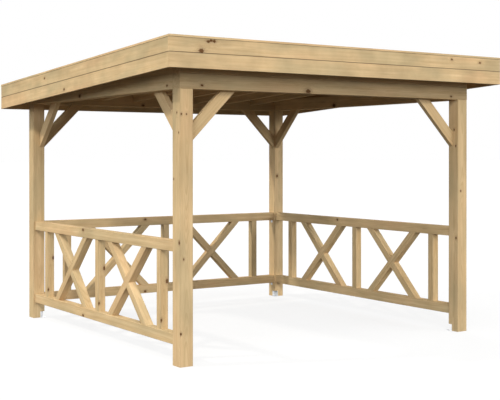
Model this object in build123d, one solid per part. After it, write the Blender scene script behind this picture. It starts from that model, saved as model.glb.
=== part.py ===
from build123d import *
import math
import os

# Garden gazebo of pressure-treated spruce: four square posts, a level ring of beams with knee
# braces, a flat roof that falls towards the back behind a deep fascia, and cross-braced
# balustrades on three sides. The front side is open.
# Millimetres. Origin on the ground at the middle of the plan. The open front faces -Y.

# Plan and posts
span = 3000.0              # outside of posts, the same in both directions
post_size = 115.0          # square section
post_height = 2100.0       # ground to the underside of the beams
arris = 5.0                # rounding of the posts, beams and rails
foot_notch = 44.0          # square notch in the inner corner of each foot
foot_notch_height = 60.0

# Steel anchors in the feet
anchor_leg = 43.0          # width of each leg of the upright angle
anchor_sheet = 4.0         # steel thickness
anchor_base = 54.0         # square base plate
anchor_fit = 0.3           # clearance between steel and timber

# Ring beams
beam_height = 120.0

# Knee braces
brace_width = 94.0         # measured square to the slope of the brace
brace_thickness = 44.0
brace_setback = 64.0       # outer face of the post to the face of the brace
brace_drop = 423.0         # lowest point of the brace below the beam
brace_arris = 3.0

# Balustrades
rail_height = 86.0
rail_thickness = 78.0
rail_setback = 18.0        # outer face of the post to the face of the rail
top_rail_height = 948.0    # ground to the top of the upper rail
bottom_rail_height = 152.0  # ground to the underside of the lower rail
bar_width = 66.0           # uprights and crosses, seen from outside
bar_depth = 68.0
bar_arris = 4.0
upright_gap = 230.0        # post to the first upright
lap_fit = 0.3              # clearance in the halved joint of a cross

# Steel angles under the ends of the back rails
bracket_leg = 28.0
bracket_width = 30.0
bracket_sheet = 2.5

# Roof
roof_fall_angle = 3.0      # degrees, down towards the back
roof_overhang = 208.0      # outside of post to the face of the fascia
fascia_thickness = 20.0
fascia_arris = 1.5
upper_board_height = 109.0
lower_board_height = 116.0
board_joint = 1.0          # open joint between the two fascia boards
cap_thickness = 15.0
cap_width = 60.0
cap_nosing = 1.5           # cap stands beyond the fascia
cover_thickness = 3.0
deck_thickness = 18.0
rafter_height = 125.0
rafter_width = 45.0
rafter_seat = 65.0         # depth that the rafters are notched over the back beam
rafter_count = 7           # rafters between the two tapered side pieces

# Values worked out from the sizes above
half = span / 2
inner = half - post_size
beam_top = post_height + beam_height
roof_half = half + roof_overhang
fall = math.tan(math.radians(roof_fall_angle))
roof_inner = roof_half - fascia_thickness
bar_setback = rail_setback + (rail_thickness - bar_depth) / 2
panel_bottom = bottom_rail_height + rail_height
panel_top = top_rail_height - rail_height

os.makedirs("parts", exist_ok=True)


def save(shape, name):
    export_step(shape, f"parts/{name}.step")


def group(shapes):
    if len(shapes) == 1:
        return shapes[0]
    return Compound(children=shapes)


def block(x0, x1, y0, y1, z0, z1):
    corner = (Align.MIN, Align.MIN, Align.MIN)
    return Pos(x0, y0, z0) * Box(x1 - x0, y1 - y0, z1 - z0, align=corner)


def timber(shape, axis, radius):
    """The shape with the four edges along an axis rounded off."""
    return fillet(shape.edges().filter_by(axis), radius)


def falling_slab(x0, x1, y0, y1, top_drop, bottom_drop):
    """A piece that lies along the fall, between two depths below the top of the cap strips."""
    outline = Polyline(
        (0, y0, roof_top(y0) - top_drop),
        (0, y1, roof_top(y1) - top_drop),
        (0, y1, roof_top(y1) - bottom_drop),
        (0, y0, roof_top(y0) - bottom_drop),
        close=True,
    )
    return Pos(x0, 0, 0) * extrude(make_face(outline), x1 - x0, dir=(1, 0, 0))


def standing_wedge(x0, x1, y0, y1, top):
    """A piece on top of the level beams, cut to the fall along its own top."""
    outline = Polyline(
        (0, y0, beam_top),
        (0, y1, beam_top),
        (0, y1, top(y1)),
        (0, y0, top(y0)),
        close=True,
    )
    return Pos(x0, 0, 0) * extrude(make_face(outline), x1 - x0, dir=(1, 0, 0))


def rafter_underside(y):
    """The underside meets the inner face of the back beam one seat depth below its top."""
    return beam_top - rafter_seat + fall * (inner - y)


def deck_underside(y):
    return rafter_underside(y) + rafter_height


def roof_top(y):
    """Top of the cap strips at a place along the fall of the roof."""
    return deck_underside(y) + deck_thickness + cover_thickness + cap_thickness


def post():
    """Post of the front left corner, with the notch at the inner corner of its foot."""
    bar = timber(block(-half, -inner, -half, -inner, 0, post_height), Axis.Z, arris)
    edge = -inner - foot_notch
    notch = block(edge, -inner + 1, edge, -inner + 1, -1, foot_notch_height)
    return bar - notch


def anchor():
    """Upright steel angle on a base plate, standing in the notch of the front left foot."""
    edge = -inner - foot_notch + anchor_fit
    top = foot_notch_height - anchor_fit
    base = block(edge, edge + anchor_base, edge, edge + anchor_base, 0, anchor_sheet)
    leg_x = block(edge, edge + anchor_leg, edge, edge + anchor_sheet, 0, top)
    leg_y = block(edge, edge + anchor_sheet, edge, edge + anchor_leg, 0, top)
    return base + leg_x + leg_y


def four_corners(shape):
    """The shape of the front left corner, at all four corners."""
    front = [shape, mirror(shape, about=Plane.YZ)]
    back = [mirror(piece, about=Plane.XZ) for piece in front]
    return {
        "front_left": front[0],
        "front_right": front[1],
        "back_left": back[0],
        "back_right": back[1],
    }


def leaning_bar(x, z, length, y0, depth, width, radius, lean):
    """A bar at 45 degrees about its middle; lean is 1 when it rises towards +X."""
    level = block(-length / 2, length / 2, y0, y0 + depth, -width / 2, width / 2)
    return Pos(x, 0, z) * Rot(0, -45 * lean, 0) * timber(level, Axis.X, radius)


def brace_pair():
    """The two knee braces of the front side, cut to the post and to the beam."""
    centre = (brace_drop - brace_width / math.sqrt(2)) / 2
    length = 2 * brace_drop
    face = -half + brace_setback
    bar = leaning_bar(
        -inner + centre, post_height - centre, length, face, brace_thickness, brace_width, brace_arris, 1
    )
    room = block(-inner, 0, face - 1, -inner, post_height - brace_drop, post_height)
    left = bar & room
    return [left, mirror(left, about=Plane.YZ)]


def rail(bottom):
    """Rail of the front side's place, from post to post."""
    face = -half + rail_setback
    bar = block(-inner, inner, face, face + rail_thickness, bottom, bottom + rail_height)
    return timber(bar, Axis.X, arris)


def uprights():
    """Two uprights near the posts and one in the middle."""
    face = -half + bar_setback
    first = inner - upright_gap - bar_width / 2
    bars = []
    for x in (-first, 0, first):
        left = x - bar_width / 2
        bar = block(left, left + bar_width, face, face + bar_depth, panel_bottom, panel_top)
        bars.append(timber(bar, Axis.Z, bar_arris))
    return bars


def crosses():
    """Rising and falling bars of both bays, halved into each other where they cross."""
    face = -half + bar_setback
    middle_y = face + bar_depth / 2
    middle_z = (panel_bottom + panel_top) / 2
    length = 2 * (panel_top - panel_bottom)
    clear_edge = inner - upright_gap - bar_width
    centre = (clear_edge + bar_width / 2) / 2
    room = block(-half, half, face - 1, face + bar_depth + 1, panel_bottom, panel_top)
    slot_width = bar_width + 2 * lap_fit
    slot_depth = bar_depth / 2 + lap_fit / 2 + 1
    slot_radius = lap_fit / 2
    rising = []
    falling = []
    for x in (-centre, centre):
        up = leaning_bar(x, middle_z, length, face, bar_depth, bar_width, bar_arris, 1)
        down = leaning_bar(x, middle_z, length, face, bar_depth, bar_width, bar_arris, -1)
        inside = leaning_bar(
            x, middle_z, length, middle_y - lap_fit / 2, slot_depth, slot_width, slot_radius, -1
        )
        outside = leaning_bar(x, middle_z, length, face - 1, slot_depth, slot_width, slot_radius, 1)
        rising.append((up & room) - inside)
        falling.append((down & room) - outside)
    return rising, falling


def rail_brackets():
    """Steel angles under both ends of both rails of one side."""
    middle = -half + rail_setback + rail_thickness / 2
    y0 = middle - bracket_width / 2
    y1 = middle + bracket_width / 2
    pieces = []
    for under in (bottom_rail_height, panel_top):
        leg = block(-inner, -inner + bracket_sheet, y0, y1, under - bracket_leg, under)
        arm = block(-inner, -inner + bracket_leg, y0, y1, under - bracket_sheet, under)
        angle = leg + arm
        pieces += [angle, mirror(angle, about=Plane.YZ)]
    return pieces


def fascia_board(side, x0, x1, y0, y1, top, bottom):
    """Fascia board whose long outer edges are eased; side is the way its face looks."""
    board = falling_slab(x0, x1, y0, y1, top, bottom)
    face = board.faces().sort_by(side)[-1]
    long_edges = face.edges().sort_by(SortBy.LENGTH)[-2:]
    return chamfer(long_edges, fascia_arris)


def turned(shapes, angle):
    """Shapes of the front side, turned to another side."""
    return [Rot(0, 0, angle) * shape for shape in shapes]


# Posts and anchors
for corner, shape in four_corners(post()).items():
    save(shape, f"post_{corner}")
save(group(list(four_corners(anchor()).values())), "post_anchors")

# Ring beams: the front and back beams run through, the side beams fit between them
through_beam = timber(block(-half, half, -half, -inner, post_height, beam_top), Axis.X, arris)
side_beam = timber(block(-half, -inner, -inner, inner, post_height, beam_top), Axis.Y, arris)
save(through_beam, "beam_front")
save(mirror(through_beam, about=Plane.XZ), "beam_back")
save(side_beam, "beam_left")
save(mirror(side_beam, about=Plane.YZ), "beam_right")

# Knee braces
side_angles = {"front": 0, "right": 90, "back": 180, "left": 270}
for side, angle in side_angles.items():
    save(group(turned(brace_pair(), angle)), f"braces_{side}")

# Balustrades
rising, falling = crosses()
for side in ("left", "back", "right"):
    angle = side_angles[side]
    save(group(turned([rail(panel_top)], angle)), f"top_rail_{side}")
    save(group(turned([rail(bottom_rail_height)], angle)), f"bottom_rail_{side}")
    save(group(turned(uprights(), angle)), f"uprights_{side}")
    save(group(turned(rising, angle)), f"cross_bars_rising_{side}")
    save(group(turned(falling, angle)), f"cross_bars_falling_{side}")
save(group(turned(rail_brackets(), side_angles["back"])), "rail_brackets")

# Roof frame: a bearer on the front beam, tapered pieces on the side beams, rafters between
cover_drop = cap_thickness
deck_drop = cover_drop + cover_thickness
rafter_drop = deck_drop + deck_thickness
rafter_bottom = rafter_drop + rafter_height
save(standing_wedge(-half, half, -half, -inner, rafter_underside), "bearer_front")

taper = standing_wedge(-half, -half + rafter_width, -inner, half, deck_underside)
save(taper, "side_taper_left")
save(mirror(taper, about=Plane.YZ), "side_taper_right")

back_beam_room = block(-half, half, inner, half, post_height, beam_top)
spacing = 2 * (half - rafter_width) / (rafter_count + 1)
rafters = []
for number in range(rafter_count):
    left = -half + (number + 1) * spacing
    bar = falling_slab(left, left + rafter_width, -roof_inner, roof_inner, rafter_drop, rafter_bottom)
    rafters.append(bar - back_beam_room)
save(group(rafters), "rafters")

edge = falling_slab(
    -roof_inner, -roof_inner + rafter_width, -roof_inner, roof_inner, rafter_drop, rafter_bottom
)
save(group([edge, mirror(edge, about=Plane.YZ)]), "edge_rafters")

# Roof boarding and its covering
save(falling_slab(-roof_inner, roof_inner, -roof_inner, roof_inner, deck_drop, rafter_drop), "roof_deck")
save(falling_slab(-roof_inner, roof_inner, -roof_inner, roof_inner, cover_drop, deck_drop), "roof_covering")

# Fascia: two boards a side, those of the front and back lapping the ends of the side ones
upper_bottom = cap_thickness + upper_board_height
lower_top = upper_bottom + board_joint
lower_bottom = lower_top + lower_board_height
rows = {"upper": (cap_thickness, upper_bottom), "lower": (lower_top, lower_bottom)}
for row, (top, bottom) in rows.items():
    ends = (-roof_inner, roof_inner, top, bottom)
    save(fascia_board(-Axis.X, -roof_half, -roof_inner, *ends), f"fascia_left_{row}")
    save(fascia_board(Axis.X, roof_inner, roof_half, *ends), f"fascia_right_{row}")
    front_ends = (-roof_half, roof_half, -roof_half, -roof_inner, top, bottom)
    back_ends = (-roof_half, roof_half, roof_inner, roof_half, top, bottom)
    save(fascia_board(-Axis.Y, *front_ends), f"fascia_front_{row}")
    save(fascia_board(Axis.Y, *back_ends), f"fascia_back_{row}")

# Cap strips along the roof's edge
cap_outer = roof_half + cap_nosing
cap_inner = cap_outer - cap_width
side_cap = falling_slab(-cap_outer, -cap_inner, -cap_inner, cap_inner, 0, cap_thickness)
save(side_cap, "cap_left")
save(mirror(side_cap, about=Plane.YZ), "cap_right")
save(falling_slab(-cap_outer, cap_outer, -cap_outer, -cap_inner, 0, cap_thickness), "cap_front")
save(falling_slab(-cap_outer, cap_outer, cap_inner, cap_outer, 0, cap_thickness), "cap_back")
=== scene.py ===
import math

import bpy
from mathutils import Matrix, Vector


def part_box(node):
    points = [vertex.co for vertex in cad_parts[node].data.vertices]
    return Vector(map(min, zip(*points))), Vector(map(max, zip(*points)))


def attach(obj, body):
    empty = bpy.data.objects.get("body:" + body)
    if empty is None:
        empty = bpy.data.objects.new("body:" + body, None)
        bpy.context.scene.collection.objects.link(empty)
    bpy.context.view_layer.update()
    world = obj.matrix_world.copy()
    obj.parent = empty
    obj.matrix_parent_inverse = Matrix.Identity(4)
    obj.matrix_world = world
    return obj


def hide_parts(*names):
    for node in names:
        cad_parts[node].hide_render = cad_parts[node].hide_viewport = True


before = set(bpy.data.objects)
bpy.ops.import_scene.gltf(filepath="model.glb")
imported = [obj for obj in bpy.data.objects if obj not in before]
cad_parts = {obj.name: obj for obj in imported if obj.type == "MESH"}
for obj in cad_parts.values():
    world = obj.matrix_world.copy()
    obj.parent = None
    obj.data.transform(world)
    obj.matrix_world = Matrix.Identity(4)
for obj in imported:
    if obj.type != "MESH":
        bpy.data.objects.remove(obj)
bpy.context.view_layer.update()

bl_info = {
    "name": "Garden gazebo",
    "version": (1, 0, 0),
    "blender": (4, 5, 0),
    "location": "3D View > Sidebar > Gazebo",
    "description": "Timber, steel and roofing finishes and the small pieces of a garden gazebo",
    "category": "Add Mesh",
}

# Sizes that the solids give, in metres
POST_LOW, POST_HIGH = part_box("post_front_left")
POST = POST_HIGH.x - POST_LOW.x
INNER = -POST_HIGH.x
HALF_ROOF = -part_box("fascia_front_upper")[0].x
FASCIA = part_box("fascia_front_upper")[1].y + HALF_ROOF

# Numbers that the solids were drawn with, in metres where they are lengths
BAR_WIDTH = 0.066
RAFTERS = 7
RAFTER_WIDTH = 0.045
FOOT_NOTCH = 0.044
ANCHOR_SHEET = 0.004
ANCHOR_FIT = 0.0003
BRACKET_LEG = 0.028
BRACKET_SHEET = 0.0025
ROOF_FALL = math.radians(3)
SLOPE = math.tan(ROOF_FALL)
DOWN_THE_ROOF = Vector((0, math.cos(ROOF_FALL), -math.sin(ROOF_FALL)))

# For each side, the way to the right as seen from outside and the way out
SIDES = {"front": ((1, 0, 0), (0, -1, 0)), "right": ((0, 1, 0), (1, 0, 0)),
         "back": ((-1, 0, 0), (0, 1, 0)), "left": ((0, -1, 0), (-1, 0, 0))}

# How close each pattern of the wood is, per metre, along the grain and twice across it
WANDER = (0.7, 2.5, 2.5)
RIPPLE = (3.5, 18.0, 18.0)
RUGGED = (90.0, 140.0, 140.0)
STREAKS = (1.6, 42.0, 42.0)
FIBRES = (14.0, 900.0, 900.0)
CLOUDS = (3.2, 9.0, 9.0)
PATCHES = (1.3, 4.5, 4.5)
CHATTER = (6.0, 3.0, 3.0)
# How close the bands of fast and slow years are, per metre out from the pith
BANDS = 70.0

# How far one step of a member's seed moves its patterns, and its knots along the grain
SEED_STEPS = (3.17, 1.73, 0.91)
KNOT_SEED_STEP = 7.31
# How far the patterns move along the grain from one member of a row to the next
NEXT_MEMBER = 1.37

# Scattered knots: their radii, how far a branch rises for its length, and the pith it starts at
BRANCH_RADII = (0.004, 0.012)
BRANCH_RISE = 0.3
PITH_RADIUS = 0.004
# Set knots: width over length, and the depths between which one ends under its face
KNOT_WIDTH_RATIO = 0.7
KNOT_DEPTHS = (0.003, 0.009)
# Added to the distance from a knot, in its radii, where the knot isn't to be seen
OUT_OF_REACH = 40.0


class TimberSettings(bpy.types.PropertyGroup):
    """Colours and grain of the pressure-treated spruce"""

    early_wood: bpy.props.FloatVectorProperty(
        name="Early wood", description="Pale wood between the rings", default=(0.69, 0.51, 0.29),
        subtype="COLOR", size=3, min=0, max=1)
    late_wood: bpy.props.FloatVectorProperty(
        name="Late wood", description="Darker line of each ring", default=(0.42, 0.26, 0.11),
        subtype="COLOR", size=3, min=0, max=1)
    treatment: bpy.props.FloatVectorProperty(
        name="Treatment tint", description="Green-grey cast of the preservative",
        default=(0.47, 0.38, 0.22), subtype="COLOR", size=3, min=0, max=1)
    resin: bpy.props.FloatVectorProperty(
        name="Resin tint", description="Warm red of resinous wood", default=(0.67, 0.44, 0.24),
        subtype="COLOR", size=3, min=0, max=1)
    knot: bpy.props.FloatVectorProperty(
        name="Knot", description="Heart of a knot", default=(0.1, 0.045, 0.018),
        subtype="COLOR", size=3, min=0, max=1)
    ring_spacing: bpy.props.FloatProperty(
        name="Ring spacing", description="Width of one year's growth", default=0.0042,
        subtype="DISTANCE", unit="LENGTH", min=0.001, max=0.02)
    knot_spacing: bpy.props.FloatProperty(
        name="Knot spacing", description="Mean distance between whorls of knots", default=1.1,
        subtype="DISTANCE", unit="LENGTH", min=0.1, max=3)


class RoofSettings(bpy.types.PropertyGroup):
    """Boards and sheet of the roof"""

    board_width: bpy.props.FloatProperty(
        name="Board width", description="Cover width of one roof board", default=0.112,
        subtype="DISTANCE", unit="LENGTH", min=0.05, max=0.3)


class StageSettings(bpy.types.PropertyGroup):
    """Light and camera"""

    light_level: bpy.props.FloatProperty(
        name="Light level", description="Factor on all the lamps", default=1.0, min=0, max=10)
    sky_strength: bpy.props.FloatProperty(
        name="Sky light", description="Strength of the even light from around", default=0.077,
        min=0, max=5)
    camera_place: bpy.props.FloatVectorProperty(
        name="Camera place", description="Where the camera stands",
        default=(-5.4152, -8.3425, 1.5977), subtype="TRANSLATION", unit="LENGTH", size=3)
    camera_turn: bpy.props.FloatProperty(
        name="Camera turn", description="Turn of the camera to the right of +Y",
        default=math.radians(33.606), subtype="ANGLE", unit="ROTATION")
    camera_dip: bpy.props.FloatProperty(
        name="Camera dip", description="Tilt of the camera below level",
        default=math.radians(0.237), subtype="ANGLE", unit="ROTATION")
    lens: bpy.props.FloatProperty(
        name="Lens", description="Focal length in millimetres on a 36 mm sensor", default=75.4,
        min=10, max=300)
    frame_shift: bpy.props.FloatProperty(
        name="Frame shift", description="Shift of the frame below the line of sight",
        default=-0.0808, min=-0.5, max=0.5)


class Wiring:
    """The shader nodes of one material or world, and short ways to add and join them."""

    def __init__(self, owner, output="ShaderNodeOutputMaterial"):
        owner.use_nodes = True
        self.owner = owner
        self.tree = owner.node_tree
        self.tree.nodes.clear()
        self.output = self.tree.nodes.new(output)

    def add(self, kind, inputs=None, **settings):
        node = self.tree.nodes.new(kind)
        for key, value in settings.items():
            setattr(node, key, value)
        for key, value in (inputs or {}).items():
            self.put(node.inputs[key], value)
        return node

    def put(self, socket, value):
        if isinstance(value, bpy.types.NodeSocket):
            self.tree.links.new(value, socket)
        else:
            socket.default_value = value

    def math(self, operation, *values, clamp=False):
        node = self.add("ShaderNodeMath", operation=operation, use_clamp=clamp)
        for number, value in enumerate(values):
            self.put(node.inputs[number], value)
        return node.outputs[0]

    def vector(self, operation, first, second):
        node = self.add("ShaderNodeVectorMath", {0: first, 1: second}, operation=operation)
        return node.outputs[0]

    def mix(self, factor, first, second, blend="MIX"):
        # Sockets 0, 6, 7 and output 2 are those of a mix of colours
        node = self.add("ShaderNodeMix", data_type="RGBA", blend_type=blend)
        for number, value in ((0, factor), (6, first), (7, second)):
            self.put(node.inputs[number], value)
        return node.outputs[2]

    def remap(self, value, low, high, to_low=0.0, to_high=1.0, smooth=False):
        kind = "SMOOTHSTEP" if smooth else "LINEAR"
        node = self.add("ShaderNodeMapRange", interpolation_type=kind)
        for number, entry in enumerate((value, low, high, to_low, to_high)):
            self.put(node.inputs[number], entry)
        return node.outputs[0]

    def hypotenuse(self, first, second):
        squares = [self.math("MULTIPLY", leg, leg) for leg in (first, second)]
        return self.math("SQRT", self.math("ADD", *squares))

    def noise(self, vector, scale, detail=2.0, rough=0.5):
        return self.add("ShaderNodeTexNoise", {
            "Vector": vector, "Scale": scale, "Detail": detail, "Roughness": rough}).outputs["Fac"]

    def stretched(self, vector, closeness, detail, rough=0.5):
        return self.noise(self.vector("MULTIPLY", vector, closeness), 1.0, detail, rough)

    def split(self, vector):
        return list(self.add("ShaderNodeSeparateXYZ", {"Vector": vector}).outputs)

    def join(self, x, y, z):
        return self.add("ShaderNodeCombineXYZ", {"X": x, "Y": y, "Z": z}).outputs[0]

    def cells(self, vector, scale):
        return self.add("ShaderNodeTexVoronoi", {"Vector": vector, "Scale": scale}).outputs

    def chances(self, colour):
        return self.add("ShaderNodeSeparateColor", {"Color": colour}).outputs

    def show(self, shader):
        self.tree.links.new(shader.outputs[0], self.output.inputs["Surface"])
        return self.owner

    def finish(self, colour, roughness, height, distance, strength=1.0, **fixed):
        bump = self.add("ShaderNodeBump", {
            "Height": height, "Distance": distance, "Strength": strength})
        shader = self.add("ShaderNodeBsdfPrincipled", {
            "Base Color": colour, "Roughness": roughness, "Normal": bump.outputs[0]})
        for key, value in fixed.items():
            shader.inputs[key.replace("_", " ")].default_value = value
        return self.show(shader)


def colour4(value, factor=1.0):
    return (*(channel * factor for channel in value), 1.0)


def grain_coordinates(w, turn, centre, period=None, mirrored=None, shuffle=0.0):
    """Coordinates in metres with the grain along X and the member's middle at zero."""
    place = w.add("ShaderNodeTexCoord").outputs["Object"]
    if mirrored is not None:
        parts = w.split(place)
        parts[mirrored] = w.math("ABSOLUTE", parts[mirrored])
        place = w.join(*parts)
    moved = w.vector("SUBTRACT", place, tuple(centre))
    local = w.add("ShaderNodeMapping", {"Vector": moved, "Rotation": turn}).outputs[0]
    if period is not None:
        parts = w.split(local)
        axis, length = period
        cell = w.math("FLOOR", w.math("ADD", w.math("DIVIDE", parts[axis], length), 0.5))
        parts[0] = w.math("ADD", parts[0], w.math("MULTIPLY", cell, shuffle))
        parts[axis] = w.math("WRAP", parts[axis], length / 2, -length / 2)
        local = w.join(*parts)
    return local


def branch_knots(w, point, seed, spacing):
    """Knots of branches that run out from the pith: one in each stretch of the length."""
    x, y, z = point
    moved = w.math("ADD", x, seed * KNOT_SEED_STEP)
    cell = w.add("ShaderNodeTexVoronoi", {"W": moved, "Scale": 1.0 / spacing},
                 voronoi_dimensions="1D")
    along = w.math("SUBTRACT", moved, w.math("MULTIPLY", cell.outputs["W"], spacing))
    chance = w.chances(cell.outputs["Color"])
    angle = w.math("MULTIPLY", chance[0], 2 * math.pi)
    cos, sin = w.math("COSINE", angle), w.math("SINE", angle)
    out = w.math("ADD", w.math("MULTIPLY", y, cos), w.math("MULTIPLY", z, sin))
    across = w.math("SUBTRACT", w.math("MULTIPLY", y, sin), w.math("MULTIPLY", z, cos))
    lean = w.math("SUBTRACT", along, w.math("MULTIPLY", out, BRANCH_RISE))
    radius = w.remap(chance[1], 0, 1, *BRANCH_RADII)
    ratio = w.math("DIVIDE", w.hypotenuse(lean, across), radius)
    far_half = w.math("SUBTRACT", 1.0, w.remap(out, -PITH_RADIUS, PITH_RADIUS))
    return w.math("ADD", ratio, w.math("MULTIPLY", far_half, OUT_OF_REACH))


def set_knot(w, along, across, spot, depth):
    """One knot at a given spot: (along the grain, across it, radius)."""
    place, offset, radius = spot
    dx = w.math("MULTIPLY", w.math("SUBTRACT", along, place), KNOT_WIDTH_RATIO)
    dy = w.math("SUBTRACT", across, offset)
    ratio = w.math("DIVIDE", w.hypotenuse(dx, dy), radius)
    if depth is None:
        return ratio
    return w.math("ADD", ratio, w.remap(depth, *KNOT_DEPTHS, 0.0, OUT_OF_REACH))


def knot_distance(w, point, shifted, seed, spacing, knots, side_knots, half_width):
    """The distance to the nearest knot, in that knot's radii, with a rugged rim."""
    x, y, z = point
    fields = [branch_knots(w, point, seed + 0.37 * n, spacing * (1.0 + 0.35 * n))
              for n in range(2)]
    from_front = from_side = None
    if half_width is not None:
        from_front = w.math("SUBTRACT", half_width, z)
        from_side = w.math("ADD", half_width, y)
    fields += [set_knot(w, x, y, spot, from_front) for spot in knots]
    fields += [set_knot(w, x, z, spot, from_side) for spot in side_knots]
    nearest = fields[0]
    for field in fields[1:]:
        nearest = w.math("SMOOTH_MIN", nearest, field, 0.25)
    rugged = w.stretched(shifted, RUGGED, 2.0)
    return w.math("MULTIPLY", nearest, w.remap(rugged, 0.3, 0.7, 0.72, 1.28))


def ring_radius(w, point, shifted, nearest):
    """The distance from a pith that sways, pushed outward around the knots."""
    wander = w.stretched(shifted, WANDER, 1.0)
    sway = w.math("MULTIPLY", w.math("SUBTRACT", wander, 0.5), 0.09)
    ripple = w.stretched(shifted, RIPPLE, 2.0)
    ripple = w.math("MULTIPLY", w.math("SUBTRACT", ripple, 0.5), 0.009)
    swirl = w.math("EXPONENT", w.math("MULTIPLY", w.math("MULTIPLY", nearest, nearest), -0.12))
    radius = w.hypotenuse(w.math("ADD", point[1], sway), point[2])
    return w.math("ADD", w.math("ADD", radius, ripple), w.math("MULTIPLY", swirl, 0.016))


def brightness(w, point, shifted, tone, cloudy, chatter, half_height, half_width):
    """A factor on the colour: clouds, planer chatter, and painted shade along board edges, under a
    board's top and along arrises.
    """
    y, z = point[1:]
    clouds = w.stretched(shifted, CLOUDS, 3.0, 0.55)
    level = w.remap(clouds, 0.3, 0.7, tone * (1 - 0.1 * cloudy), tone * (1 + 0.08 * cloudy))
    if chatter:
        bars = w.stretched(shifted, CHATTER, 3.0)
        marks = w.remap(bars, 0.3, 0.7, 1 - chatter, 1 + chatter * 0.6)
        level = w.math("MULTIPLY", level, marks)
    if half_height is not None:
        # Painted shade: a darker line along both long edges of each fascia board, where the joints
        # between boards fall in shade
        edge = w.remap(w.math("ABSOLUTE", y), half_height - 0.003, half_height - 0.001, 1.0, 0.62)
        # Painted shadow: a darker band along the top of each board, as if cast by the cap's nosing
        # or the board above
        top = w.remap(y, half_height - 0.006, half_height - 0.003, 1.0, 0.6)
        level = w.math("MULTIPLY", level, w.math("MULTIPLY", edge, top))
    if half_width is not None:
        # Painted shade: a darker line along the rounded arrises of posts and uprights, where the
        # rounding turns away from the light
        corner = w.math("MINIMUM", w.math("ABSOLUTE", y), w.math("ABSOLUTE", z))
        painted_arris_shade = w.remap(corner, half_width - 0.0065, half_width - 0.0035, 1.0, 0.84)
        level = w.math("MULTIPLY", level, painted_arris_shade)
    return level


def timber(name, settings, turn, centre, seed, period=None, mirrored=None, shuffle=0.0, tone=1.0,
           contrast=1.0, cloudy=1.0, chatter=0.0, knots=(), side_knots=(), knot_spacing=None,
           half_height=None, half_width=None):
    """Planed spruce: rings about a pith, knots, streaks, fibres and the preservative's cast."""
    w = Wiring(bpy.data.materials.new(name))
    local = grain_coordinates(w, turn, centre, period, mirrored, shuffle)
    point = w.split(local)
    shifted = w.vector("ADD", local, tuple(seed * step for step in SEED_STEPS))
    nearest = knot_distance(w, point, shifted, seed, knot_spacing or settings.knot_spacing,
                            knots, side_knots, half_width)
    radius = ring_radius(w, point, shifted, nearest)

    # Each ring darkens slowly to its late wood and ends sharply
    year = w.math("FRACT", w.math("DIVIDE", radius, settings.ring_spacing))
    late = w.math("MULTIPLY", w.remap(year, 0.35, 0.86, smooth=True),
                  w.remap(year, 0.9, 1.0, 1.0, 0.0, smooth=True))
    bands = w.add("ShaderNodeTexNoise", {"W": w.math("ADD", radius, seed), "Scale": BANDS,
                                         "Detail": 3.0}, noise_dimensions="1D").outputs["Fac"]
    streaks = w.stretched(shifted, STREAKS, 3.0, 0.6)
    fibres = w.stretched(shifted, FIBRES, 2.0, 0.6)
    amount = w.math("ADD", w.math("MULTIPLY", late, 0.24),
                    w.remap(bands, 0.3, 0.75, 0.0, 0.36 * contrast))
    amount = w.math("ADD", amount, w.remap(streaks, 0.35, 0.75, -0.1 * contrast, 0.3 * contrast))
    amount = w.math("ADD", amount, w.remap(fibres, 0.3, 0.7, -0.05, 0.06), clamp=True)
    colour = w.mix(amount, colour4(settings.early_wood), colour4(settings.late_wood))

    # Patches of the preservative's cast, and of resin between them
    patches = w.stretched(shifted, PATCHES, 2.0)
    cast = w.remap(patches, 0.48, 0.66, 0.0, 0.4 * cloudy, smooth=True)
    colour = w.mix(cast, colour, colour4(settings.treatment))
    warm = w.remap(patches, 0.48, 0.34, 0.0, 0.4 * cloudy, smooth=True)
    colour = w.mix(warm, colour, colour4(settings.resin))

    # A darker halo around each knot, and the knot's ringed heart
    halo = w.remap(nearest, 0.9, 2.8, 0.6, 0.0, smooth=True)
    colour = w.mix(halo, colour, colour4(settings.resin, 0.58))
    heart = w.remap(nearest, 0.75, 1.3, 1.0, 0.0, smooth=True)
    rings = w.math("FRACT", w.math("MULTIPLY", nearest, 3.3))
    heart_colour = w.mix(w.remap(rings, 0.2, 0.9), colour4(settings.knot),
                         colour4(settings.knot, 1.7))
    colour = w.mix(w.math("MULTIPLY", heart, 0.95), colour, heart_colour)

    level = brightness(w, point, shifted, tone, cloudy, chatter, half_height, half_width)
    colour = w.mix(1.0, colour, w.join(level, level, level), "MULTIPLY")
    rough = w.math("ADD", w.remap(late, 0.0, 1.0, 0.88, 0.8),
                   w.remap(fibres, 0.3, 0.7, -0.04, 0.06))
    height = w.math("ADD", w.math("MULTIPLY", late, 0.5), w.math("MULTIPLY", fibres, 0.8))
    height = w.math("ADD", height, w.math("MULTIPLY", heart, 0.4))
    return w.finish(colour, rough, height, 0.0006, 0.6, Specular_IOR_Level=0.02)


def steel(name):
    """Hot-dip galvanised steel with its spangle."""
    w = Wiring(bpy.data.materials.new(name))
    place = w.add("ShaderNodeTexCoord").outputs["Object"]
    tone = w.chances(w.cells(place, 260.0)["Color"])[0]
    cloud = w.noise(place, 60.0, 3.0)
    level = w.math("ADD", w.remap(tone, 0, 1, 0.66, 0.8), w.remap(cloud, 0.3, 0.7, -0.05, 0.05))
    colour = w.join(level, w.math("MULTIPLY", level, 1.02), w.math("MULTIPLY", level, 1.04))
    return w.finish(colour, w.remap(tone, 0, 1, 0.45, 0.6), cloud, 0.0004, 0.4, Metallic=0.35)


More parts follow.
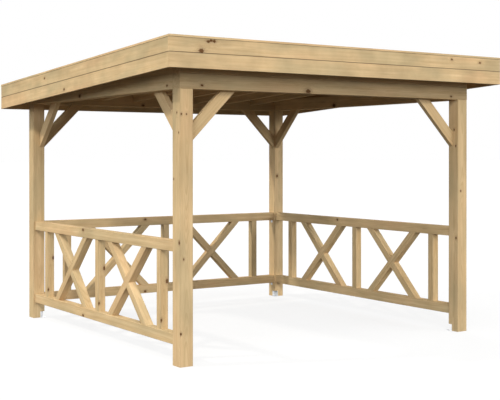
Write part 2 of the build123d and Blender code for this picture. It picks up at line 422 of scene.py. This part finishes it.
def roofing(name):
    """Dark mineral-surfaced roofing sheet."""
    w = Wiring(bpy.data.materials.new(name))
    place = w.add("ShaderNodeTexCoord").outputs["Object"]
    grit = w.cells(place, 650.0)
    tone = w.chances(grit["Color"])[0]
    cloud = w.noise(place, 2.2, 4.0)
    level = w.math("ADD", w.remap(tone, 0, 1, 0.03, 0.11), w.remap(cloud, 0.3, 0.7, -0.012, 0.02))
    colour = w.join(level, level, w.math("MULTIPLY", level, 0.96))
    return w.finish(colour, w.remap(tone, 0, 1, 0.8, 0.95), grit["Distance"], 0.0012, 0.7)


def grain(along, face):
    """The turn that brings the grain to X and the named face to Z."""
    x, z = Vector(along).normalized(), Vector(face).normalized()
    return Matrix((x, z.cross(x), z)).to_euler()


def dress(node, material):
    """Gives a CAD node its finish."""
    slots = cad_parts[node].data.materials
    if len(slots) == 0:
        slots.append(material)
    else:
        slots[0] = material


def finish_timber(context, node, turn, seed, centre=None, **look):
    """Gives a CAD node a timber of its own, centred on the node if nothing else is said."""
    if centre is None:
        low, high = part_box(node)
        centre = (low + high) / 2
    settings = context.scene.gazebo_timber
    dress(node, timber("spruce_" + node, settings, turn, centre, seed, **look))


class GAZEBO_OT_posts(bpy.types.Operator):
    """Finish the posts"""

    bl_idname = "gazebo.posts"
    bl_label = "Posts"

    # Tone per post; the back right post is painted lighter, standing in for light that falls on it
    tones_and_painted_light = {"front_left": 0.98, "front_right": 0.96, "back_left": 0.96, "back_right": 1.17}
    # Knots as (height from the middle, across the face, radius)
    left_face_knots = {
        "front_left": ((0.870, -0.010, 0.006), (0.718, -0.038, 0.005), (0.368, 0.037, 0.005),
                       (-0.111, -0.046, 0.010)),
        "front_right": ((0.780, -0.012, 0.007), (0.632, -0.034, 0.006), (-0.201, -0.037, 0.008)),
    }
    front_face_knots = {
        "front_left": ((0.857, 0.046, 0.006), (0.858, 0.0, 0.005), (-0.237, 0.025, 0.006),
                       (-0.799, 0.05, 0.007)),
        "front_right": ((0.224, 0.018, 0.007),),
        "back_right": ((0.312, 0.026, 0.012),),
    }

    def execute(self, context):
        turn = grain((0, 0, 1), (-1, 0, 0))
        for number, (corner, tone) in enumerate(self.tones_and_painted_light.items()):
            finish_timber(context, "post_" + corner, turn, 1.3 + number, tone=tone, contrast=0.8,
                          # half_width also turns on the painted shade along the arrises
                          knot_spacing=1.6, half_width=POST / 2,
                          knots=self.left_face_knots.get(corner, ()),
                          side_knots=self.front_face_knots.get(corner, ()))
        return {"FINISHED"}


class GAZEBO_OT_beams(bpy.types.Operator):
    """Finish the ring beams, the bearer and the tapered side pieces"""

    bl_idname = "gazebo.beams"
    bl_label = "Beams"

    # Knots as (to the right of the middle, above it, radius), seen from outside
    beam_knots = {
        "beam_front": ((-1.306, -0.030, 0.008), (-0.298, -0.042, 0.016), (1.302, -0.033, 0.008)),
        "beam_left": ((1.301, -0.029, 0.008), (-0.300, -0.035, 0.014)),
        "beam_back": ((0.291, -0.042, 0.011),),
        "beam_right": ((0.303, -0.041, 0.017),),
    }

    def execute(self, context):
        for number, (side, (right, out)) in enumerate(SIDES.items()):
            # The front beam is painted darker (tone 0.86): painted shade of the fascia's shadow on
            # its face
            finish_timber(context, "beam_" + side, grain(right, out), 11.2 + number,
                          tone=0.86 if side == "front" else 1.0, knot_spacing=1.8,
                          knots=self.beam_knots["beam_" + side])
        finish_timber(context, "bearer_front", grain(*SIDES["front"]), 16.1)
        for number, side in enumerate(("left", "right")):
            finish_timber(context, "side_taper_" + side, grain(*SIDES[side]), 17.2 + number)
        return {"FINISHED"}


class GAZEBO_OT_braces(bpy.types.Operator):
    """Finish the knee braces"""

    bl_idname = "gazebo.braces"
    bl_label = "Knee braces"

    def execute(self, context):
        for number, (side, (_, out)) in enumerate(SIDES.items()):
            node = "braces_" + side
            low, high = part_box(node)
            lengthwise = 0 if side in ("front", "back") else 1
            centre = (low + high) / 2
            centre[lengthwise] = high[lengthwise] - (high.z - low.z) / 2
            rising = Vector((0, 0, 1))
            rising[lengthwise] = -1
            finish_timber(context, node, grain(rising, out), 21.7 + number, centre=centre,
                          mirrored=lengthwise, contrast=0.8, cloudy=0.5, knot_spacing=0.9)
        return {"FINISHED"}


class GAZEBO_OT_balustrades(bpy.types.Operator):
    """Finish the rails, uprights and crosses of the three balustrades"""

    bl_idname = "gazebo.balustrades"
    bl_label = "Balustrades"

    # Knots as (to the right of the middle, above it, radius), seen from outside
    rail_knots = {
        "top_rail_left": ((-0.27, 0.027, 0.012),),
        "bottom_rail_left": ((-0.27, -0.027, 0.011),),
        "top_rail_back": ((0.257, 0.02, 0.011),),
        "bottom_rail_back": ((0.257, -0.023, 0.01),),
        "top_rail_right": ((0.27, 0.02, 0.01),),
    }
    # Knots as (height from the middle, across, radius), on the narrow sides of every left upright
    upright_knots = ((0.063, -0.024, 0.011), (-0.24, 0.027, 0.009))

    def execute(self, context):
        up = Vector((0, 0, 1))
        for number, side in enumerate(("left", "back", "right")):
            right, out = (Vector(axis) for axis in SIDES[side])
            seed = 31.3 + number * 5
            for row, node in enumerate(("top_rail_" + side, "bottom_rail_" + side)):
                finish_timber(context, node, grain(right, out), seed + row, knot_spacing=1.9,
                              knots=self.rail_knots.get(node, ()))
            low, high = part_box("uprights_" + side)
            pitch = (max(high.x - low.x, high.y - low.y) - BAR_WIDTH) / 2
            finish_timber(context, "uprights_" + side, grain(up, out), seed + 2, knot_spacing=1.3,
                          # half_width also turns on the painted shade along the uprights' arrises
                          period=(1, pitch), half_width=BAR_WIDTH / 2,
                          side_knots=self.upright_knots if side == "left" else ())
            for row, (way, along) in enumerate((("rising_", right + up), ("falling_", right - up))):
                finish_timber(context, "cross_bars_" + way + side, grain(along, out),
                              seed + 3 + row, knot_spacing=1.0)
        return {"FINISHED"}


class GAZEBO_OT_fascia(bpy.types.Operator):
    """Finish the fascia boards and the cap strips"""

    bl_idname = "gazebo.fascia"
    bl_label = "Fascia"

    # Knots as (to the right of the middle, above it, radius), seen from outside
    board_knots = {
        "fascia_front_upper": ((-1.325, 0.038, 0.010), (-1.352, 0.040, 0.009),
                               (-1.376, 0.032, 0.010), (-1.437, -0.040, 0.015),
                               (1.107, 0.025, 0.008), (1.450, 0.011, 0.008)),
        "fascia_left_upper": ((-0.605, 0.008, 0.008),),
        "fascia_left_lower": ((-0.170, -0.024, 0.01),),
    }

    def execute(self, context):
        for number, (side, (right, out)) in enumerate(SIDES.items()):
            along = Vector(right)
            if along.y:
                along = DOWN_THE_ROOF * along.y
            lean = math.cos(ROOF_FALL) if along.z else 1.0
            seed = 51.9 + number * 3
            for row, node in enumerate(("fascia_%s_upper" % side, "fascia_%s_lower" % side)):
                low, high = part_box(node)
                drop = (high.y - low.y) * SLOPE if along.z else 0.0
                finish_timber(context, node, grain(along, out), seed + row, contrast=0.6,
                              cloudy=1.3, chatter=0.09, knot_spacing=2.2,
                              # half_height turns on the painted shade along the board edges and the
                              # painted shadow along each board's top
                              half_height=(high.z - low.z - drop) * lean / 2,
                              knots=self.board_knots.get(node, ()))
            finish_timber(context, "cap_" + side, grain(along, out), seed + 2, contrast=0.6,
                          cloudy=1.3, knot_spacing=2.2)
        return {"FINISHED"}


def alone(piece):
    """Selects one piece and nothing else."""
    bpy.ops.object.select_all(action="DESELECT")
    piece.select_set(True)
    bpy.context.view_layer.objects.active = piece


def join_pieces(pieces):
    """Makes one piece of several, the first of them."""
    alone(pieces[0])
    for piece in pieces:
        piece.select_set(True)
    bpy.ops.object.join()
    return bpy.context.active_object


def settle(piece, name, material):
    """Applies a new piece's place and modifiers, and gives it its name and finish."""
    alone(piece)
    for modifier in list(piece.modifiers):
        bpy.ops.object.modifier_apply(modifier=modifier.name)
    bpy.ops.object.transform_apply(location=True, rotation=True, scale=True)
    bpy.ops.object.shade_smooth_by_angle(angle=math.radians(30))
    piece.name = name
    piece.data.name = name
    piece.data.materials.clear()
    piece.data.materials.append(material)
    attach(piece, "root")


def ease(piece, width):
    """Bevels the edges of the active piece."""
    bevel = piece.modifiers.new("easing", "BEVEL")
    bevel.width = width
    bevel.segments = 2
    bpy.ops.object.modifier_apply(modifier=bevel.name)


def eased_block(size, place, tilt, easing):
    """A block with eased edges, tilted about X."""
    bpy.ops.object.select_all(action="DESELECT")
    bpy.ops.mesh.primitive_cube_add(size=1, location=place)
    piece = bpy.context.active_object
    piece.scale = size
    bpy.ops.object.transform_apply(location=False, rotation=False, scale=True)
    ease(piece, easing)
    piece.rotation_euler.x = tilt
    return piece


def spread(master, places):
    """Copies of a small piece at pairs of a place and a way out, joined into one."""
    made = []
    for place, out in places:
        alone(master)
        bpy.ops.object.duplicate()
        copy = bpy.context.active_object
        copy.location = place
        copy.rotation_euler = Vector(out).to_track_quat("Z", "Y").to_euler()
        made.append(copy)
    alone(master)
    bpy.ops.object.delete()
    return join_pieces(made)


class GAZEBO_OT_rafters(bpy.types.Operator):
    """Finish the rafters"""

    bl_idname = "gazebo.rafters"
    bl_label = "Rafters"

    def execute(self, context):
        turn = grain(DOWN_THE_ROOF, (1, 0, 0))
        low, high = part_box("rafters")
        width = high.x - low.x
        pitch = (width - RAFTER_WIDTH) / (RAFTERS - 1)
        for number, (node, period) in enumerate((("rafters", pitch), ("edge_rafters", width))):
            finish_timber(context, node, turn, 71.4 + number, period=(2, period),
                          shuffle=NEXT_MEMBER)
        return {"FINISHED"}


class GAZEBO_OT_roof_boards(bpy.types.Operator):
    """Lay the roof boards side by side down the fall, with a V joint between them"""

    bl_idname = "gazebo.roof_boards"
    bl_label = "Roof boards"

    joint = 0.0006
    easing = 0.0025

    def execute(self, context):
        low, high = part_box("roof_deck")
        across, reach = high.x - low.x, high.y - low.y
        thickness = high.z - low.z - reach * SLOPE
        count = round(reach / context.scene.gazebo_roof.board_width)
        pitch = reach / count
        length = (pitch - self.joint - thickness * math.sin(ROOF_FALL)) / math.cos(ROOF_FALL)
        place = (0, low.y + pitch / 2, high.z - thickness / 2 - pitch * SLOPE / 2)
        size = (across, length, thickness * math.cos(ROOF_FALL))
        boards = eased_block(size, place, -ROOF_FALL, self.easing)
        alone(boards)
        bpy.ops.object.transform_apply(location=False, rotation=True, scale=False)
        step = (0, pitch, -pitch * SLOPE)
        rows = boards.modifiers.new("rows", "ARRAY")
        rows.count = count
        rows.use_relative_offset = False
        rows.use_constant_offset = True
        rows.constant_offset_displace = step
        turn = grain((1, 0, 0), DOWN_THE_ROOF.cross((-1, 0, 0)))
        centre = Vector(place) + Vector(step) * (count // 2)
        material = timber("spruce_roof_boards", context.scene.gazebo_timber, turn, centre, 74.0,
                          period=(1, pitch / math.cos(ROOF_FALL)), shuffle=NEXT_MEMBER)
        settle(boards, "roof_boards", material)
        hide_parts("roof_deck")
        return {"FINISHED"}


class GAZEBO_OT_roof_sheets(bpy.types.Operator):
    """Lay the roofing sheet in strips across the fall, each one lapping the next below it"""

    bl_idname = "gazebo.roof_sheets"
    bl_label = "Roofing sheets"

    strips = 4
    lap = 0.08
    thickness = 0.0013
    easing = 0.0004
    # Kept free at the edges, so that a tilted strip stays inside the solid
    spare = 0.002

    def execute(self, context):
        low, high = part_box("roof_covering")
        reach = high.y - low.y
        room = high.z - low.z - reach * SLOPE
        width = (reach + (self.strips - 1) * self.lap) / self.strips
        lift = room - 2 * self.thickness
        tilt = ROOF_FALL - math.atan(self.thickness / width)
        size = (high.x - low.x - self.spare, width / math.cos(ROOF_FALL) - self.spare,
                self.thickness)
        made = []
        for number in range(self.strips):
            y = low.y + width / 2 + number * (width - self.lap)
            z = high.z - room - (y - low.y) * SLOPE + lift / 2 + self.thickness
            made.append(eased_block(size, (0, y, z), -tilt, self.easing))
        sheets = join_pieces(made)
        settle(sheets, "roof_sheets", roofing("roofing_sheet"))
        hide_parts("roof_covering")
        return {"FINISHED"}


class GAZEBO_OT_steel(bpy.types.Operator):
    """Finish the steel anchors and brackets"""

    bl_idname = "gazebo.steel"
    bl_label = "Steel fittings"

    def execute(self, context):
        material = steel("galvanised_steel_finish")
        for node in ("post_anchors", "rail_brackets"):
            dress(node, material)
        return {"FINISHED"}


class GAZEBO_OT_anchor_screws(bpy.types.Operator):
    """Drive one hexagon-head coach screw with a washer through each leg of the post anchors"""

    bl_idname = "gazebo.anchor_screws"
    bl_label = "Anchor screws"

    across_corners = 0.015
    head = 0.0053
    washer = (0.009, 0.0016)
    easing = 0.0004
    height = 0.032
    # The two screws of an anchor pass each other at different heights
    height_step = 0.014

    def head_and_washer(self):
        radius, thickness = self.washer
        bpy.ops.object.select_all(action="DESELECT")
        bpy.ops.mesh.primitive_cylinder_add(
            vertices=32, radius=radius, depth=thickness, location=(0, 0, thickness / 2))
        disc = bpy.context.active_object
        bpy.ops.mesh.primitive_cylinder_add(
            vertices=6, radius=self.across_corners / 2, depth=self.head,
            location=(0, 0, thickness + self.head / 2))
        head = bpy.context.active_object
        disc.select_set(True)
        bpy.ops.object.join()
        bpy.ops.object.transform_apply(location=True, rotation=False, scale=False)
        bpy.context.scene.cursor.location = (0, 0, 0)
        bpy.ops.object.origin_set(type="ORIGIN_CURSOR")
        ease(head, self.easing)
        return head

    def execute(self, context):
        wall = INNER + FOOT_NOTCH - ANCHOR_SHEET - ANCHOR_FIT
        middle = INNER + FOOT_NOTCH / 2
        upper = self.height + self.height_step
        places = []
        for sx in (-1, 1):
            for sy in (-1, 1):
                places.append(((sx * wall, sy * middle, self.height), (-sx, 0, 0)))
                places.append(((sx * middle, sy * wall, upper), (0, -sy, 0)))
        screws = spread(self.head_and_washer(), places)
        settle(screws, "anchor_screws", steel("screw_steel"))
        return {"FINISHED"}


class GAZEBO_OT_small_screws(bpy.types.Operator):
    """Drive the countersunk screws of the cap strips and those of the rail brackets"""

    bl_idname = "gazebo.small_screws"
    bl_label = "Small screws"

    # Radius and depth of a head, inset and depth of its recess
    head = (0.004, 0.0012)
    recess = (0.0022, 0.0008)
    easing = 0.0003
    # How far a head stands out
    stand = 0.0003
    # Screws to a cap strip, and the first one's distance from the corner
    cap_screws = 9
    from_corner = 0.06
    # Place of a bracket's screws along its legs, as a share of the leg
    along_leg = 0.6

    def head_of_screw(self):
        radius, depth = self.head
        inset, sunk = self.recess
        bpy.ops.object.select_all(action="DESELECT")
        bpy.ops.mesh.primitive_cylinder_add(
            vertices=24, radius=radius, depth=depth, location=(0, 0, 0))
        screw = bpy.context.active_object
        bpy.ops.object.mode_set(mode="EDIT")
        bpy.ops.mesh.select_all(action="SELECT")
        bpy.ops.mesh.bevel(offset=self.easing, segments=2)
        bpy.ops.object.mode_set(mode="OBJECT")
        top = max(screw.data.polygons, key=lambda face: face.center.z)
        for face in screw.data.polygons:
            face.select = face.index == top.index
        bpy.ops.object.mode_set(mode="EDIT")
        bpy.ops.mesh.select_mode(type="FACE")
        bpy.ops.mesh.inset(thickness=inset)
        bpy.ops.mesh.extrude_region_move(TRANSFORM_OT_translate={"value": (0, 0, -sunk)})
        bpy.ops.object.mode_set(mode="OBJECT")
        return screw

    def drive(self, name, material, places):
        screws = spread(self.head_of_screw(), places)
        settle(screws, name, steel(material))

    def execute(self, context):
        low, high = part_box("cap_front")
        centre = HALF_ROOF - FASCIA / 2
        reach = centre - self.from_corner
        lift = self.stand - self.head[1] / 2
        up = Vector((0, math.sin(ROOF_FALL), math.cos(ROOF_FALL)))
        places = []
        for number in range(self.cap_screws):
            along = -reach + number * 2 * reach / (self.cap_screws - 1)
            for x, y in ((along, -centre), (along, centre), (-centre, along), (centre, along)):
                place = Vector((x, y, high.z - (y - low.y) * SLOPE))
                places.append((place + up * lift, up))
        self.drive("cap_screws", "cap_screw_steel", places)

        low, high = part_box("rail_brackets")
        y = (low.y + high.y) / 2
        reach = BRACKET_LEG * self.along_leg
        places = []
        for under in (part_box("bottom_rail_back")[0].z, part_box("top_rail_back")[0].z):
            for side in (-1, 1):
                x = side * (INNER - BRACKET_SHEET - lift)
                places.append(((x, y, under - reach), (-side, 0, 0)))
                z = under - BRACKET_SHEET - lift
                places.append(((side * (INNER - reach), y, z), (0, 0, -1)))
        self.drive("bracket_screws", "bracket_screw_steel", places)
        return {"FINISHED"}


class GAZEBO_OT_stage(bpy.types.Operator):
    """Build the floor, the light and the camera"""

    bl_idname = "gazebo.stage"
    bl_label = "Stage"

    floor_size = 400
    floor_height = -0.002
    lamp_distance = 12
    # Lamps as (degrees from the front toward the left, degrees of rise, spread in degrees,
    # strength, colour)
    white, warm, cool = (1.0, 1.0, 1.0), (1.0, 0.95, 0.86), (0.9, 0.96, 1.0)
    lamps = {
        "key_lamp": (29.5, 29.5, 4, 1.13, warm),
        "high_left_lamp": (112, 45, 4, 1.45, warm),
        "left_lamp": (115, 22, 36, 0.85, cool),
        "right_lamp": (-40, 28, 30, 0.75, white),
        "top_lamp": (40, 70, 30, 1.3, white),
        "low_left_lamp": (48, 9, 18, 1.15, cool),
        "low_right_lamp": (-20, 9, 18, 0.76, white),
        "back_lamp": (205, 24, 40, 1.3, white),
    }

    def seen(self, w):
        """One for the rays that the camera sees by, straight, mirrored or through a body."""
        path = w.add("ShaderNodeLightPath").outputs
        direct = w.math("MAXIMUM", path["Is Camera Ray"], path["Is Transmission Ray"])
        return w.math("MAXIMUM", direct, path["Is Glossy Ray"])

    def lay_floor(self, context):
        """A floor that looks white and throws little light back at the gazebo."""
        bpy.ops.object.select_all(action="DESELECT")
        bpy.ops.mesh.primitive_grid_add(x_subdivisions=2, y_subdivisions=2, size=self.floor_size,
                                        location=(0, 0, self.floor_height))
        floor = context.active_object
        floor.name = "floor"
        w = Wiring(bpy.data.materials.new("studio_floor"))
        lit = w.add("ShaderNodeBsdfDiffuse", {"Color": (0.8, 0.8, 0.8, 1)})
        white = w.add("ShaderNodeEmission", {"Color": (1, 1, 1, 1), "Strength": 1.04})
        shown = w.add("ShaderNodeMixShader", {0: 0.8, 1: lit.outputs[0], 2: white.outputs[0]})
        dull = w.add("ShaderNodeBsdfDiffuse", {"Color": (0.1, 0.09, 0.08, 1)})
        floor.data.materials.append(w.show(w.add("ShaderNodeMixShader", {
            0: self.seen(w), 1: dull.outputs[0], 2: shown.outputs[0]})))

    def light_world(self, context, strength):
        """A world that looks white and lights the gazebo evenly."""
        world = bpy.data.worlds.new("studio")
        context.scene.world = world
        w = Wiring(world, "ShaderNodeOutputWorld")
        light, shown = (
            w.add("ShaderNodeBackground", {"Color": (1, 1, 1, 1), "Strength": level})
            for level in (strength, 1.0))
        w.show(w.add("ShaderNodeMixShader", {
            0: self.seen(w), 1: light.outputs[0], 2: shown.outputs[0]}))

    def hang_lamps(self, context, level):
        """Suns around the gazebo, each turned to its middle."""
        for name, (turn, rise, spread_angle, strength, colour) in self.lamps.items():
            turn, rise = math.radians(turn), math.radians(rise)
            toward = Vector((-math.sin(turn) * math.cos(rise), -math.cos(turn) * math.cos(rise),
                             math.sin(rise)))
            bpy.ops.object.light_add(type="SUN", location=toward * self.lamp_distance)
            lamp = context.active_object
            lamp.name = name
            lamp.data.energy = strength * level
            lamp.data.color = colour
            lamp.data.angle = math.radians(spread_angle)
            lamp.rotation_euler = toward.to_track_quat("Z", "Y").to_euler()

    def execute(self, context):
        stage = context.scene.gazebo_stage
        self.lay_floor(context)
        self.light_world(context, stage.sky_strength)
        self.hang_lamps(context, stage.light_level)
        bpy.ops.object.camera_add(
            location=stage.camera_place,
            rotation=(math.radians(90) - stage.camera_dip, 0, -stage.camera_turn))
        camera = context.active_object
        camera.name = "photo_camera"
        camera.data.lens = stage.lens
        camera.data.shift_y = stage.frame_shift
        camera.data.clip_end = 500
        context.scene.camera = camera
        context.scene.view_settings.view_transform = "Standard"
        return {"FINISHED"}


class GAZEBO_PT_panel(bpy.types.Panel):
    """Lists the gazebo's pieces"""

    bl_idname = "GAZEBO_PT_panel"
    bl_label = "Garden gazebo"
    bl_space_type = "VIEW_3D"
    bl_region_type = "UI"
    bl_category = "Gazebo"

    def draw(self, context):
        column = self.layout.column(align=True)
        for operator in OPERATORS:
            column.operator(operator.bl_idname)


SETTINGS = {"gazebo_timber": TimberSettings, "gazebo_roof": RoofSettings,
            "gazebo_stage": StageSettings}
OPERATORS = (GAZEBO_OT_posts, GAZEBO_OT_beams, GAZEBO_OT_braces, GAZEBO_OT_balustrades,
             GAZEBO_OT_fascia, GAZEBO_OT_rafters, GAZEBO_OT_roof_boards, GAZEBO_OT_roof_sheets,
             GAZEBO_OT_steel, GAZEBO_OT_anchor_screws, GAZEBO_OT_small_screws, GAZEBO_OT_stage)


def register():
    for entry in (*SETTINGS.values(), *OPERATORS, GAZEBO_PT_panel):
        bpy.utils.register_class(entry)
    for name, group in SETTINGS.items():
        setattr(bpy.types.Scene, name, bpy.props.PointerProperty(type=group))


def unregister():
    for name in SETTINGS:
        delattr(bpy.types.Scene, name)
    for entry in (GAZEBO_PT_panel, *reversed(OPERATORS), *SETTINGS.values()):
        bpy.utils.unregister_class(entry)


def main():
    register()
    for operator in OPERATORS:
        group, name = operator.bl_idname.split(".")
        getattr(getattr(bpy.ops, group), name)()


if __name__ == "__main__":
    main()
